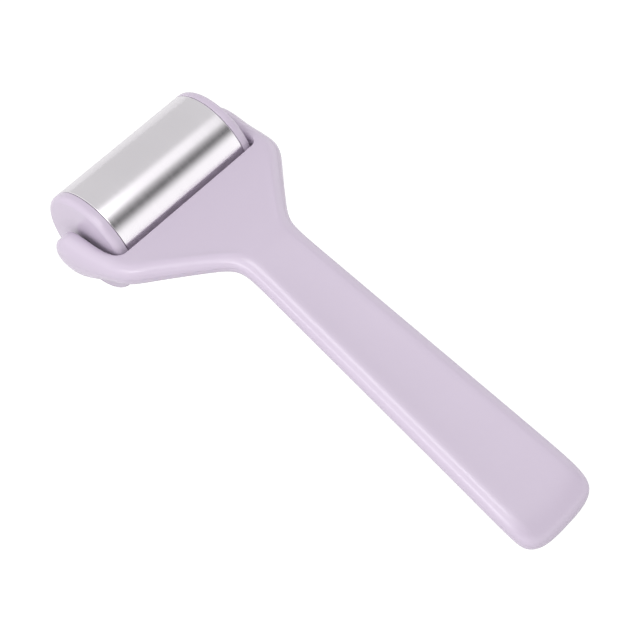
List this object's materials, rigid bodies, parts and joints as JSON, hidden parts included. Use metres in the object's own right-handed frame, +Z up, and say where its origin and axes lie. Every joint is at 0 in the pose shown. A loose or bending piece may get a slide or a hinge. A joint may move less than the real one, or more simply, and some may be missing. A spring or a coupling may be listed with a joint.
{
  "type": "seam roller",
  "caption": "Hand seam roller: a steel-sleeved roller turning between the arms of a Y-shaped plastic yoke with a long flat handle.",
  "frame": {"origin": "on the table, under the middle of the tool's length and width", "axes": "+X along the roller's axle, +Y from the handle's heel towards the roller, +Z up off the table"},
  "size_m": [0.0668, 0.1662, 0.032],
  "materials": {
    "shell": "satin moulded plastic, pale lavender",
    "cap": "satin moulded plastic, pale lavender",
    "sleeve": "fine-turned stainless steel",
    "axle": "ground steel rod",
    "inner_plastic": "natural engineering plastic",
    "bearing_plastic": "dark grey bearing plastic",
    "screw": "bright zinc plate"
  },
  "bodies": {
    "handle": {"upper_shell": "shell", "lower_shell": "shell", "axle_pin": "axle", "thrust_washer_left": "bearing_plastic", "thrust_washer_right": "bearing_plastic", "screw_yoke_left": "screw", "screw_yoke_right": "screw", "screw_neck": "screw", "screw_grip": "screw", "screw_heel": "screw"},
    "roller": {"steel_sleeve": "sleeve", "end_cap_left": "cap", "end_cap_right": "cap", "core_tube": "inner_plastic", "bush_left": "bearing_plastic", "bush_right": "bearing_plastic"}
  },
  "joints": [
    {"name": "roller_spin", "type": "hinge", "parent": "handle", "child": "roller", "pos_m": [0, 0.067, 0.016], "axis": [1, 0, 0], "continuous": true}
  ]
}
